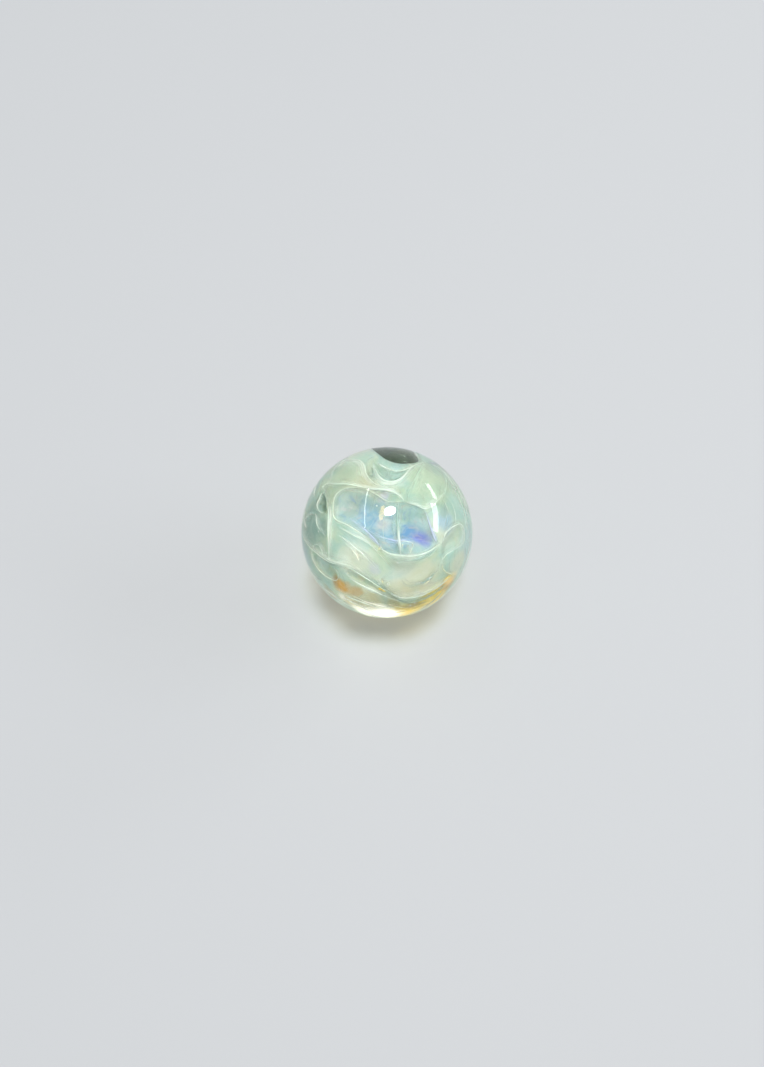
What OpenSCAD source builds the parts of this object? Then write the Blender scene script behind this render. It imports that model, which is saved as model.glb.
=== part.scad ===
// Glass marble: one solid ball of clear glass with opal glass folded into it.
// The opal is fused into the ball, so the whole marble is a single solid.
// The origin is the centre of the ball, and +Z points up as the ball lies at rest.

/* [Ball] */
// Diameter of the ball, measured across the polished glass
ball_d = 16; // [10:0.5:50]

/* [Preview] */
// Number of facets drawn round the ball in a preview
preview_facets = 96; // [24:8:240]

/* [Hidden] */

// Pale sea-green of the opal glass, seen through clear glass.
opal_glass = [0.76, 0.86, 0.78, 0.6];

// The ball itself: a true sphere about the origin.
module marble() {
    color(opal_glass)
        sphere(d = ball_d, $fn = preview_facets);
}

marble();
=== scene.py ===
# %% [markdown]
# # An opal glass marble
#
# The real object is one ball of clear glass, fire-polished and about as wide as a thumb.
# While the glass was soft, a gather of opal glass was folded into it, so milky veils hang
# in the ball like curtains. Opal glass throws blue light back and lets amber light through,
# so the ball looks blue where the veils are deep and golden near its foot.
#
# The solid ball comes from the CAD frame. Everything inside it is built here.

import math

import bmesh
import bpy
import numpy as np
from mathutils import Matrix, Vector


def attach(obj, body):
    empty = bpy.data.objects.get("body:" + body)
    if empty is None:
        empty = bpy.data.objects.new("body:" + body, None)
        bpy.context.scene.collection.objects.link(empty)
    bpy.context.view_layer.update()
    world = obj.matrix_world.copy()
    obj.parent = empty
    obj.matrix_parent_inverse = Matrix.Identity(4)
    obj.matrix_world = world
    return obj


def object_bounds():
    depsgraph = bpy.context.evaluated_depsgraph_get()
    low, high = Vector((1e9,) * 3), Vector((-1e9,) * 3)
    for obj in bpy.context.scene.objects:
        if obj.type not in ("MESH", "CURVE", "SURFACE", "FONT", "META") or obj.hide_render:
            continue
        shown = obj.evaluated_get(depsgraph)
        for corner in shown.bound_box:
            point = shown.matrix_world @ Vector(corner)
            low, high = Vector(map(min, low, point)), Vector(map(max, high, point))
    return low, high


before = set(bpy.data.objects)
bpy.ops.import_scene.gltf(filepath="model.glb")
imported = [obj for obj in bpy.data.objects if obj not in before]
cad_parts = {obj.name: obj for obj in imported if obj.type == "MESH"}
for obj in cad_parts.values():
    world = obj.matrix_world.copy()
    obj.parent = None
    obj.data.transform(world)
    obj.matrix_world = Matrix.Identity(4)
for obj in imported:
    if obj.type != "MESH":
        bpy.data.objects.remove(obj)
cad_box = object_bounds()
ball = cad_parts["marble"]
BALL_R = (cad_box[1][2] - cad_box[0][2]) / 2
MM = 0.001
print("ball radius", round(BALL_R / MM, 3), "mm")

# %% [markdown]
# ## The side that faces us
#
# Every veil is placed by how it should look from one side of the ball, the face. A place on
# the face is written as (across, up), in ball radii from the middle of the disc that the ball
# shows. Glass bends the view, so a veil just under the surface looks further out than it is.
# `under_glass` undoes that bend with Snell's law, for a veil at a given depth.

# %% The face, and what its glass bends
FACE_TILT = math.radians(63)  # how high the face looks, above level
GLASS_IOR = 1.5


def face_frame(turn, tilt, roll=0.0):
    """Three unit vectors for a face: to its right, to its top and out of the ball."""
    out = np.array(
        [
            math.sin(turn) * math.cos(tilt),
            -math.cos(turn) * math.cos(tilt),
            math.sin(tilt),
        ]
    )
    right = np.array([math.cos(turn), math.sin(turn), 0.0])
    top = np.cross(out, right)
    rolled = math.cos(roll) * right + math.sin(roll) * top
    return np.array([rolled, np.cross(out, rolled), out])


def bend(reach, depth):
    """The angle from the face's axis to a point that looks this far out, at this depth."""
    enters = np.arcsin(reach)
    inside = np.arcsin(reach / GLASS_IOR)
    return enters - inside + np.arcsin(np.clip(reach / (GLASS_IOR * depth), 0, 1))


def under_glass(places, face, depth):
    """Directions in the ball of (across, up) places on a face."""
    places = np.asarray(places, float)
    reach = np.clip(np.linalg.norm(places, axis=1), 1e-6, 0.995)
    angle = bend(reach, depth)
    flat = places / np.linalg.norm(places, axis=1).clip(1e-6)[:, None]
    sideways = flat[:, :1] * face[0] + flat[:, 1:] * face[1]
    return np.cos(angle)[:, None] * face[2] + np.sin(angle)[:, None] * sideways


FRONT = face_frame(0.0, FACE_TILT)
print("the face looks along", FRONT[2].round(3))

# %% [markdown]
# ## Fold lines
#
# Where an opal veil folds over, we look along the sheet, and the fold shows as a bright line
# with a soft gradient on one side. So the swirl is drawn as fold lines. Each has a few points,
# and a Catmull-Rom curve, which runs through all its points, makes it smooth.


# %% A smooth path through a few points
def smooth_path(points, spacing=0.02):
    """Points along a Catmull-Rom curve, about evenly spaced."""
    p = np.asarray(points, float)
    ends = np.array([2 * p[0] - p[1], *p, 2 * p[-1] - p[-2]])
    fine = []
    for a, b, c, d in zip(ends, ends[1:], ends[2:], ends[3:]):
        t = np.linspace(0, 1, 24, endpoint=False)[:, None]
        fine.append(
            0.5
            * (
                2 * b
                + (c - a) * t
                + (2 * a - 5 * b + 4 * c - d) * t**2
                + (3 * b - a - 3 * c + d) * t**3
            )
        )
    fine = np.concatenate([*fine, p[-1:]])
    along = np.r_[0, np.cumsum(np.linalg.norm(np.diff(fine, axis=0), axis=1))]
    count = max(8, int(along[-1] / spacing) + 1)
    at = np.linspace(0, along[-1], count)
    return np.stack([np.interp(at, along, fine[:, k]) for k in range(p.shape[1])], 1)


# %% The folds of the face
# name: (points, side that the veil hangs to, its width, strength, thread tint, thread width)
LEFT, RIGHT = 1, -1
# The olive and grey threads of leaf_top, smile_shade, foot_arc_a and foot_arc_c are painted
# shade: dark lines beside a fold.
FACE_FOLDS = {
    "hook": ([(-0.62, 0.72), (-0.50, 0.83), (-0.34, 0.84), (-0.26, 0.78), (-0.23, 0.66),
        (-0.15, 0.56), (-0.02, 0.50)], RIGHT, 0.30, 0.55, "cream", 1.0),
    "bowl": ([(-0.17, 0.86), (-0.13, 0.72), (-0.07, 0.62), (0.03, 0.58), (0.14, 0.61),
        (0.29, 0.75), (0.47, 0.82)], RIGHT, 0.20, 0.55, "cream", 1.0),
    "bowl_lip": ([(-0.12, 0.80), (0.00, 0.73), (0.12, 0.70), (0.24, 0.73), (0.34, 0.79)], LEFT,
        0.10, 0.50, "cream", 0.7),
    "fan_left": ([(0.22, 0.35), (0.25, 0.46), (0.29, 0.56), (0.38, 0.72), (0.49, 0.82)], RIGHT,
        0.35, 0.45, "sage", 0.8),
    "fan_foot": ([(0.20, 0.35), (0.32, 0.31), (0.43, 0.265), (0.53, 0.31), (0.62, 0.42)], LEFT,
        0.30, 0.55, "cream", 0.8),
    "fan_right": ([(0.68, 0.66), (0.68, 0.52), (0.63, 0.38), (0.58, 0.30)], RIGHT, 0.15, 0.40,
        "sage", 0.8),
    "long_top": ([(-0.75, 0.49), (-0.71, 0.55), (-0.62, 0.555), (-0.43, 0.545), (-0.22, 0.50),
        (0.00, 0.475), (0.11, 0.43), (0.20, 0.35)], LEFT, 0.24, 0.60, "cream", 1.5),
    "loop": ([(0.19, 0.345), (0.01, 0.35), (-0.11, 0.42), (-0.22, 0.48), (-0.36, 0.51),
        (-0.50, 0.49), (-0.585, 0.42), (-0.61, 0.30), (-0.59, 0.16), (-0.44, 0.085),
        (-0.25, -0.035), (-0.12, -0.13)], RIGHT, 0.13, 0.45, "cream", 1.2),
    "left_band": ([(-0.725, 0.54), (-0.69, 0.39), (-0.665, 0.23), (-0.67, -0.02), (-0.655, -0.28),
        (-0.60, -0.36)], LEFT, 0.14, 0.60, "cream", 1.6),
    "left_curl": ([(-0.70, 0.40), (-0.735, 0.455), (-0.79, 0.36), (-0.80, 0.30), (-0.76, 0.235),
        (-0.68, 0.22)], RIGHT, 0.08, 0.50, "cream", 1.1),
    "left_rim_a": ([(-0.96, 0.14), (-0.90, 0.20), (-0.83, 0.215)], LEFT, 0.08, 0.35, "cream",
        0.7),
    "left_rim_b": ([(-0.82, 0.23), (-0.79, 0.08), (-0.69, -0.05)], LEFT, 0.10, 0.40, "cream",
        0.9),
    "diagonal": ([(-0.985, 0.00), (-0.91, -0.14), (-0.795, -0.245), (-0.655, -0.335),
        (-0.50, -0.375), (-0.39, -0.42), (-0.22, -0.525), (-0.06, -0.63), (0.12, -0.73),
        (0.205, -0.79)], LEFT, 0.22, 0.65, "cream", 1.6),
    "leaf_top": ([(-0.47, -0.45), (-0.41, -0.42), (-0.30, -0.45), (-0.15, -0.55), (0.02, -0.67),
        (0.12, -0.75)], RIGHT, 0.08, 0.35, "olive", 0.8),
    "leaf_foot": ([(-0.47, -0.45), (-0.40, -0.53), (-0.28, -0.60), (-0.15, -0.66), (0.00, -0.73),
        (0.15, -0.79)], RIGHT, 0.10, 0.55, "cream", 1.2),
    "pouch": ([(-0.82, -0.16), (-0.87, -0.22), (-0.85, -0.32), (-0.78, -0.43), (-0.70, -0.50),
        (-0.60, -0.545), (-0.555, -0.52), (-0.56, -0.46), (-0.62, -0.37)], RIGHT, 0.08, 0.50,
        "cream", 1.0),
    "pouch_curl": ([(-0.84, -0.19), (-0.825, -0.14), (-0.77, -0.15), (-0.74, -0.21),
        (-0.71, -0.29)], LEFT, 0.06, 0.45, "cream", 0.8),
    "sweep_a": ([(-0.43, 0.17), (-0.28, 0.06), (-0.15, -0.06), (-0.04, -0.20)], RIGHT, 0.10, 0.40,
        "lilac", 1.2),
    "sweep_b": ([(-0.58, 0.08), (-0.40, -0.02), (-0.20, -0.13), (-0.06, -0.27), (0.05, -0.40)],
        LEFT, 0.10, 0.50, "cream", 0.9),
    "sweep_c": ([(-0.56, -0.02), (-0.42, -0.12), (-0.25, -0.26), (-0.10, -0.43)], RIGHT, 0.12,
        0.45, "cream", 0.8),
    "high_smile": ([(-0.22, 0.035), (-0.15, -0.01), (-0.07, -0.045), (0.10, -0.09), (0.20, -0.08),
        (0.31, -0.115)], RIGHT, 0.10, 0.50, "lilac", 1.2),
    "low_smile": ([(-0.09, -0.17), (0.03, -0.235), (0.17, -0.255), (0.25, -0.265), (0.38, -0.245),
        (0.50, -0.195), (0.60, -0.115)], RIGHT, 0.25, 0.65, "cream", 1.6),
    "smile_shade": ([(0.02, -0.27), (0.15, -0.305), (0.30, -0.31), (0.45, -0.26), (0.57, -0.17)],
        RIGHT, 0.07, 0.40, "grey", 2.0),
    "centre_band": ([(0.115, 0.33), (0.11, 0.12), (0.12, -0.05), (0.14, -0.20), (0.145, -0.29)],
        LEFT, 0.075, 0.8, "grey", 0.5),
    "centre_band_b": ([(0.14, 0.33), (0.13, 0.12), (0.14, -0.05), (0.155, -0.18), (0.15, -0.29)],
        RIGHT, 0.05, 0.8, "cream", 0.0),
    "centre_curl": ([(0.145, -0.10), (0.20, -0.095), (0.29, -0.125), (0.27, -0.20),
        (0.235, -0.265)], RIGHT, 0.05, 0.50, "cream", 1.2),
    "blue_edge": ([(0.42, 0.265), (0.47, 0.12), (0.52, -0.02), (0.565, -0.13)], LEFT, 0.12, 0.50,
        "lilac", 1.0),
    "right_rim_a": ([(0.48, 0.83), (0.68, 0.67), (0.80, 0.46), (0.89, 0.23), (0.92, 0.10),
        (0.93, -0.05)], RIGHT, 0.20, 0.45, "cream", 1.0),
    "right_rim_b": ([(0.60, 0.78), (0.76, 0.60), (0.88, 0.38), (0.95, 0.15)], RIGHT, 0.10, 0.40,
        "cream", 0.8),
    "right_leaf": ([(0.62, -0.34), (0.66, -0.26), (0.75, -0.20), (0.84, -0.14), (0.885, -0.07),
        (0.88, 0.04), (0.83, 0.10), (0.74, 0.06), (0.66, -0.02), (0.62, -0.14)], LEFT, 0.10, 0.40,
        "cream", 1.0),
    "right_foot": ([(0.62, -0.34), (0.63, -0.40), (0.67, -0.45), (0.72, -0.47), (0.79, -0.50)],
        RIGHT, 0.08, 0.50, "straw", 1.1),
    "foot_arc_a": ([(0.17, -0.54), (0.21, -0.59), (0.27, -0.605), (0.38, -0.58), (0.47, -0.53),
        (0.58, -0.42)], RIGHT, 0.12, 0.35, "olive", 0.6),
    "foot_arc_b": ([(0.03, -0.69), (0.12, -0.73), (0.21, -0.745), (0.38, -0.72), (0.56, -0.64),
        (0.71, -0.52)], LEFT, 0.15, 0.55, "cream", 1.2),
    "foot_arc_c": ([(0.05, -0.73), (0.21, -0.80), (0.39, -0.775), (0.57, -0.685), (0.70, -0.57)],
        RIGHT, 0.06, 0.50, "olive", 1.8),
    "foot_streak_a": ([(-0.60, -0.66), (-0.45, -0.73), (-0.28, -0.80), (-0.10, -0.86)], RIGHT,
        0.08, 0.55, "cream", 1.0),
    "foot_streak_b": ([(-0.50, -0.74), (-0.35, -0.83), (-0.15, -0.92)], RIGHT, 0.08, 0.50,
        "cream", 1.0),
    "top_hair": ([(0.03, 0.74), (0.035, 0.62), (0.055, 0.49)], LEFT, 0.05, 0.30, "grey", 0.8),
    "foot_hair_a": ([(-0.52, -0.76), (-0.38, -0.81), (-0.22, -0.90)], RIGHT, 0.06, 0.40, "straw",
        0.8),
    "foot_hair_b": ([(-0.42, -0.70), (-0.24, -0.79), (-0.02, -0.85), (0.14, -0.86)], RIGHT, 0.08,
        0.50, "snow", 0.9),
    "foot_hair_c": ([(0.00, -0.82), (0.20, -0.86), (0.38, -0.84)], LEFT, 0.06, 0.35, "straw",
        0.8),
    "foot_hair_d": ([(0.08, -0.93), (0.30, -0.88), (0.50, -0.78)], RIGHT, 0.06, 0.35, "gold",
        0.9),
    "foot_crest": ([(0.62, -0.60), (0.69, -0.52), (0.78, -0.47)], RIGHT, 0.08, 0.45, "gold", 1.2),
    "window_edge": ([(0.29, 0.955), (0.345, 0.90), (0.37, 0.81)], RIGHT, 0.06, 0.50, "cream",
        1.0),
    # painted glints: short bright threads and veils that stand in for the lamps' glints inside
    # the glass
    "painted_glint_a": ([(-0.41, -0.17), (-0.35, -0.25), (-0.31, -0.33)], LEFT, 0.03, 0.5, "snow", 2.2),
    "painted_glint_f": ([(-0.36, -0.20), (-0.335, -0.26), (-0.34, -0.32)], RIGHT, 0.03, 0.5, "snow", 1.6),
    "painted_glint_b": ([(-0.11, -0.21), (-0.06, -0.155)], LEFT, 0.03, 0.5, "straw", 2.2),
    "painted_glint_c": ([(0.41, -0.60), (0.48, -0.545)], LEFT, 0.03, 0.5, "straw", 2.6),
    "painted_glint_d": ([(-0.10, -0.63), (-0.01, -0.67)], LEFT, 0.04, 0.5, "gold", 2.4),
    "painted_glint_e": ([(-0.07, -0.52), (-0.04, -0.58)], RIGHT, 0.03, 0.5, "straw", 2.0),
    "painted_glint_g": ([(0.00, -0.56), (0.01, -0.61)], LEFT, 0.03, 0.5, "snow", 1.6),
    "top_eye": ([(-0.19, 0.76), (-0.16, 0.72), (-0.16, 0.66), (-0.20, 0.65), (-0.21, 0.71)],
        RIGHT, 0.03, 0.40, "olive", 0.8),
}
print(len(FACE_FOLDS), "folds on the face")

# %% [markdown]
# ## Sums in a graph
#
# Finishes and shapes are both made by small graphs of nodes. Written by hand, each sum in one
# takes four lines, so one class wraps a socket and lets Python's own signs add the Math
# nodes. Another holds a graph and adds any other node from its type, its settings and its
# inputs. A finish and a Geometry Nodes recipe are two kinds of graph.


# %% A number that changes over a surface
class Amount:
    def __init__(self, graph, socket):
        self.graph, self.socket = graph, socket

    def sum(self, operation, *values):
        return self.graph.node("ShaderNodeMath", dict(enumerate(values)), operation=operation)

    def __add__(self, other):
        return self.sum("ADD", self, other)

    def __sub__(self, other):
        return self.sum("SUBTRACT", self, other)

    def __rsub__(self, other):
        return self.sum("SUBTRACT", other, self)

    def __mul__(self, other):
        return self.sum("MULTIPLY", self, other)

    def __truediv__(self, other):
        return self.sum("DIVIDE", self, other)

    def __pow__(self, other):
        return self.sum("POWER", self, other)

    def __abs__(self):
        return self.sum("ABSOLUTE", self)

    __radd__, __rmul__ = __add__, __mul__

    def sine(self):
        return self.sum("SINE", self)

    def between(self, low, high):
        """0 below low, 1 above high, and a soft step between them."""
        return self.graph.node(
            "ShaderNodeMapRange",
            {"Value": self, "From Min": low, "From Max": high},
            interpolation_type="SMOOTHSTEP",
        )

    def within_one(self):
        """No less than 0 and no more than 1."""
        return self.sum("MINIMUM", self.sum("MAXIMUM", self, 0.0), 1.0)


# %% A graph, built node by node
class Graph:
    def __init__(self, tree):
        self.nodes, self.links = tree.nodes, tree.links

    def feed(self, slot, value):
        if isinstance(value, Amount):
            value = value.socket
        if isinstance(value, bpy.types.NodeSocket):
            self.links.new(value, slot)
        elif slot.type == "RGBA" and len(value) == 3:
            slot.default_value = (*value, 1)
        else:
            slot.default_value = value

    def node(self, kind, inputs=None, output=0, **settings):
        """Adds one node: settings first, then inputs, named or numbered where names repeat."""
        made = self.nodes.new(kind if "Node" in kind else self.family + kind)
        for name, value in settings.items():
            setattr(made, name, value)
        for name, value in (inputs or {}).items():
            self.feed(made.inputs[name], value)
        return Amount(self, made.outputs[output])

    def vector(self, operation, *values, output=0):
        """A sum on vectors."""
        inputs = dict(enumerate(values))
        return self.node("ShaderNodeVectorMath", inputs, output, operation=operation)


# %% A finish is a graph for a surface
class Finish(Graph):
    family = "ShaderNode"

    def __init__(self, name):
        self.material = bpy.data.materials.new(name)
        self.material.use_nodes = True
        super().__init__(self.material.node_tree)
        self.nodes.clear()
        self.result = self.nodes.new("ShaderNodeOutputMaterial")

    def attribute(self, name, output="Fac"):
        """What each point of the mesh says under this name."""
        return self.node("Attribute", output=output, attribute_name=name)

    def mix(self, share, first, second):
        """One colour turning into another as share goes from 0 to 1."""
        return self.node("Mix", {0: share, 6: first, 7: second}, output=2, data_type="RGBA")

    def blend(self, share, first, second):
        """One shader turning into another."""
        return self.node("MixShader", {0: share, 1: first, 2: second})

    def place(self):
        return self.node("TexCoord", output="Object")

    def noise(self, where, scale, detail=2.0, distortion=0.0):
        return self.node(
            "TexNoise",
            {"Vector": where, "Scale": scale, "Detail": detail, "Distortion": distortion},
        )

    def show(self, shader):
        self.feed(self.result.inputs["Surface"], shader)
        return self.material


# %% A recipe is a graph for a shape
class Recipe(Graph):
    family = "GeometryNode"

    def __init__(self, name, kinds):
        self.tree = bpy.data.node_groups.new(name, "GeometryNodeTree")
        super().__init__(self.tree)
        shape = {"socket_type": "NodeSocketGeometry"}
        self.tree.interface.new_socket("Geometry", in_out="INPUT", **shape)
        for title, kind in kinds.items():
            self.tree.interface.new_socket(
                title, in_out="INPUT", socket_type="NodeSocket" + kind
            )
        self.tree.interface.new_socket("Geometry", in_out="OUTPUT", **shape)
        self.inputs = self.nodes.new("NodeGroupInput").outputs

    def given(self, title):
        """One of the recipe's own inputs."""
        return Amount(self, self.inputs[title])

    def carried(self, name, kind="FLOAT"):
        """A number, vector or flag that each point carries."""
        return self.node("InputNamedAttribute", {"Name": name}, data_type=kind)

    def write_down(self, shape, name, value, kind="FLOAT", where="POINT", chosen=True):
        """Gives each point or edge a number under a name."""
        return self.node(
            "StoreNamedAttribute",
            {"Geometry": shape, "Name": name, "Value": value, "Selection": chosen},
            data_type=kind,
            domain=where,
        )

    def serve(self, shape):
        """Ends the recipe: real faces, smooth, with their finish on."""
        shape = self.node("RealizeInstances", {"Geometry": shape})
        shape = self.node("SetShadeSmooth", {"Geometry": shape})
        shape = self.node(
            "SetMaterial", {"Geometry": shape, "Material": self.given("Finish")}
        )
        self.feed(self.nodes.new("NodeGroupOutput").inputs[0], shape)


# %% Run a recipe on a mesh and keep the result as a plain mesh
def cook(name, mesh, recipe, values):
    """A new object whose mesh is what the recipe makes of the given one."""
    made = bpy.data.objects.new(name, mesh)
    bpy.context.scene.collection.objects.link(made)
    modifier = made.modifiers.new(name, "NODES")
    modifier.node_group = recipe.tree
    for item in recipe.tree.interface.items_tree:
        if item.in_out == "INPUT" and item.name in values:
            modifier[item.identifier] = values[item.name]
    ready = made.evaluated_get(bpy.context.evaluated_depsgraph_get())
    made.data = bpy.data.meshes.new_from_object(ready)
    if not made.data.materials[0]:  # the empty slot of a ball that the recipe made
        made.data.materials.pop(index=0)
    made.modifiers.clear()
    made.data.name = name
    bpy.data.meshes.remove(mesh)
    print(name, "has", len(made.data.polygons), "faces")
    return made


# %% Points that carry numbers
def point_mesh(name, paths, numbers):
    """A loose line along each path, whose points carry numbers, vectors or colours."""
    steps = np.concatenate([np.r_[np.ones(len(path) - 1, int), 0] for path in paths])
    first = np.flatnonzero(steps)
    mesh = bpy.data.meshes.new(name)
    mesh.from_pydata(
        np.concatenate(paths).tolist(), np.stack([first, first + 1], 1).tolist(), []
    )
    kinds = {1: ("FLOAT", "value"), 3: ("FLOAT_VECTOR", "vector"), 4: ("FLOAT_COLOR", "color")}
    for title, values in numbers.items():
        values = np.asarray(values, np.float32)
        kind, slot = kinds[values[0].size]
        mesh.attributes.new(title, kind, "POINT").data.foreach_set(slot, values.ravel())
    return mesh


def glass_tint(red, green, blue):
    """A colour given on a 0 to 255 scale, as the linear light a shader needs."""
    return tuple(
        c / 12.92 if c <= 0.04045 else ((c + 0.055) / 1.055) ** 2.4
        for c in (red / 255, green / 255, blue / 255)
    )


# %% [markdown]
# ## The milk: the large folded sheet
#
# Most of the opal lies in one big crumpled sheet about a fifth of the way in from the glass.
# It could be modelled by sculpting, but its shape follows rules: it is a ball that dips where
# a pocket opens in it, steps down at each fold, and has one clear window. So each direction
# out of the ball gets a radius from those rules, on a cube whose faces are blown up to a ball,
# because that grid has no crowded poles.

# %% The grid of directions
GRID = 124  # squares along each side of the cube


def ball_grid(count):
    """Directions and four-cornered faces of a cube blown up to a ball."""
    bm = bmesh.new()
    bmesh.ops.create_cube(bm, size=2)
    bmesh.ops.subdivide_edges(bm, edges=bm.edges[:], cuts=count - 1, use_grid_fill=True)
    corners = np.array([v.co[:] for v in bm.verts])
    faces = np.array([[v.index for v in f.verts] for f in bm.faces])
    bm.free()
    rounded = np.tan(corners * math.pi / 4)
    return rounded / np.linalg.norm(rounded, axis=1)[:, None], faces


directions, milk_faces = ball_grid(GRID)
print(len(directions), "points on the milk")

# %% Pockets, where the milk lies deeper
MILK_DEPTH = 0.80  # of the ball's radius
# name: (outline on the face, how much deeper in ball radii, how soft its far bank is)
POCKETS = {
    "blue": (
        [(-0.60, 0.18), (-0.60, 0.38), (-0.50, 0.49), (-0.30, 0.50), (-0.10, 0.42),
         (0.05, 0.36), (0.20, 0.35), (0.33, 0.31), (0.43, 0.265), (0.52, 0.02),
         (0.59, -0.12), (0.50, -0.195), (0.38, -0.245), (0.17, -0.255), (0.00, -0.225),
         (-0.12, -0.13), (-0.25, -0.035), (-0.44, 0.085)], 0.16, 0.20),
    "bowl": (
        [(-0.16, 0.80), (-0.13, 0.70), (-0.06, 0.62), (0.03, 0.59), (0.14, 0.62),
         (0.28, 0.74), (0.14, 0.70), (0.00, 0.73)], 0.07, 0.06),
    "left_curl": (
        [(-0.70, 0.40), (-0.735, 0.45), (-0.79, 0.36), (-0.80, 0.30), (-0.76, 0.24),
         (-0.69, 0.23)], 0.10, 0.05),
    "pouch": (
        [(-0.83, -0.18), (-0.87, -0.25), (-0.84, -0.33), (-0.78, -0.43), (-0.70, -0.50),
         (-0.58, -0.54), (-0.57, -0.47), (-0.63, -0.37), (-0.72, -0.28)], 0.09, 0.08),
    "leaf": (
        [(-0.46, -0.45), (-0.41, -0.43), (-0.30, -0.46), (-0.15, -0.56), (0.02, -0.68),
         (0.10, -0.75), (0.00, -0.72), (-0.15, -0.65), (-0.28, -0.59), (-0.40, -0.52)],
        0.06, 0.05),
    "right_leaf": (
        [(0.64, -0.30), (0.75, -0.19), (0.86, -0.10), (0.87, 0.03), (0.81, 0.08),
         (0.72, 0.04), (0.65, -0.05), (0.62, -0.16)], 0.04, 0.10),
}
WINDOW = [
    (-0.22, 1.01), (-0.18, 0.975), (-0.10, 0.91), (0.00, 0.84), (0.12, 0.80), (0.25, 0.80),
    (0.355, 0.825), (0.345, 0.89), (0.30, 0.95), (0.26, 1.01), (0.14, 1.05), (0.00, 1.06),
    (-0.14, 1.05),
]


PAST_RIM = 0.7  # places go on past the rim, this far for each radian


def seen_at(directions, face, depth):
    """The (across, up) place where each direction shows on a face, at this depth."""
    table = np.linspace(0, 0.995, 400)
    turned = directions @ face.T
    angle = np.arccos(turned[:, 2].clip(-1, 1))
    angles = bend(table, depth)
    reach = np.interp(angle, angles, table)
    reach += PAST_RIM * (angle - angles[-1]).clip(0)
    flat = np.linalg.norm(turned[:, :2], axis=1).clip(1e-9)
    return turned[:, :2] / flat[:, None] * reach[:, None]


def from_outline(places, outline):
    """How far each place is from a closed outline: above 0 inside it, below 0 outside."""
    outline = smooth_path([*outline, outline[0]], 0.01)
    away = np.full(len(places), 9.0)
    inside = np.zeros(len(places), bool)
    x, y = places.T
    for (ax, ay), (bx, by) in zip(outline, np.roll(outline, -1, axis=0)):
        px, py, dx, dy = x - ax, y - ay, bx - ax, by - ay
        t = ((px * dx + py * dy) / max(dx * dx + dy * dy, 1e-12)).clip(0, 1)
        away = np.minimum(away, np.hypot(px - t * dx, py - t * dy))
        inside ^= ((ay > y) != (by > y)) & (px < dx * (y - ay) / (dy if dy else 1e-12))
    return np.where(inside, away, -away)


def step_up(value, low, high):
    t = ((value - low) / (high - low)).clip(0, 1)
    return t * t * (3 - 2 * t)


# %% Slow waves, the same on every run
def waves(directions, scale, seed):
    """A smooth random height for each direction, about -1 to 1, as a sum of plane waves."""
    dice = np.random.default_rng(seed)
    total = np.zeros(len(directions))
    for _ in range(14):
        axis = dice.normal(size=3)
        axis *= scale * dice.uniform(0.6, 1.5) / np.linalg.norm(axis)
        total += np.sin(directions @ axis + dice.uniform(0, 2 * math.pi))
    return total / 3.7


# %% The other sides have folds of their own
# Each side borrows some of the face's folds, turned, so that no two sides look alike.
SIDES = {
    "back": (face_frame(math.radians(175), math.radians(18), math.radians(140)), 0.80),
    "right": (face_frame(math.radians(80), math.radians(-8), math.radians(70)), 0.70),
    "left": (face_frame(math.radians(-88), math.radians(-5), math.radians(-115)), 0.70),
    "foot": (face_frame(math.radians(10), math.radians(-68), math.radians(200)), 0.75),
}
SIDE_POCKETS = {
    "back": ("blue", "pouch", "left_curl", "leaf"),
    "right": ("blue", "bowl", "leaf"),
    "left": ("blue", "pouch"),
    "foot": ("blue", "right_leaf", "bowl"),
}

# %% The milk's radius in every direction
def into_pocket(places, outline, bank):
    """How far inside its outline each place is, and how deep in the pocket, from 0 to 1."""
    inward = from_outline(places, outline)
    return inward, 0.25 * step_up(inward, -0.006, 0.02) + 0.75 * step_up(inward, 0.0, bank)


milk_depth = np.full(len(directions), MILK_DEPTH)
milk_depth += 0.016 * waves(directions, 2.6, 3) + 0.007 * waves(directions, 7.0, 4)
hollow = np.zeros(len(directions))
lagoon = np.zeros(len(directions))

front_places = seen_at(directions, FRONT, MILK_DEPTH)
for name, (outline, dip, bank) in POCKETS.items():
    inward, pocket = into_pocket(front_places, outline, bank)
    milk_depth -= dip * pocket
    if name == "blue":
        lagoon = 0.6 * step_up(inward, -0.012, 0.012) + 0.4 * step_up(inward, 0.0, 0.15)
    else:
        hollow = np.maximum(hollow, pocket)
for side, names in SIDE_POCKETS.items():
    side_places = seen_at(directions, SIDES[side][0], MILK_DEPTH)
    on_side = step_up(1.0 - np.hypot(*side_places.T), 0.0, 0.25)
    on_side *= step_up(np.hypot(*front_places.T), 0.97, 1.3)
    for name in names:
        outline, dip, bank = POCKETS[name]
        pocket = into_pocket(side_places, outline, bank)[1] * on_side
        milk_depth -= dip * pocket
        if name == "blue":
            lagoon = np.maximum(lagoon, pocket)
        else:
            hollow = np.maximum(hollow, pocket)
print("milk from", round(milk_depth.min(), 3), "to", round(milk_depth.max(), 3), "radii")

# %% [markdown]
# ## The window
#
# High on the face the milk has a hole, through which one looks into the ball. A dark pane just
# below it paints the shade that one sees through the hole, and the milk's rim is smoothed, as if
# it had flowed there.

# %% Cut the window
RIM_PASSES = 12
UNDER_RIM = 0.03  # radii that the dark pane of painted shade reaches under the milk
PANE_DROP = 0.004  # radii that it lies below the milk
open_here = from_outline(front_places, WINDOW)
keep = open_here[milk_faces].max(axis=1) < 0

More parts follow.
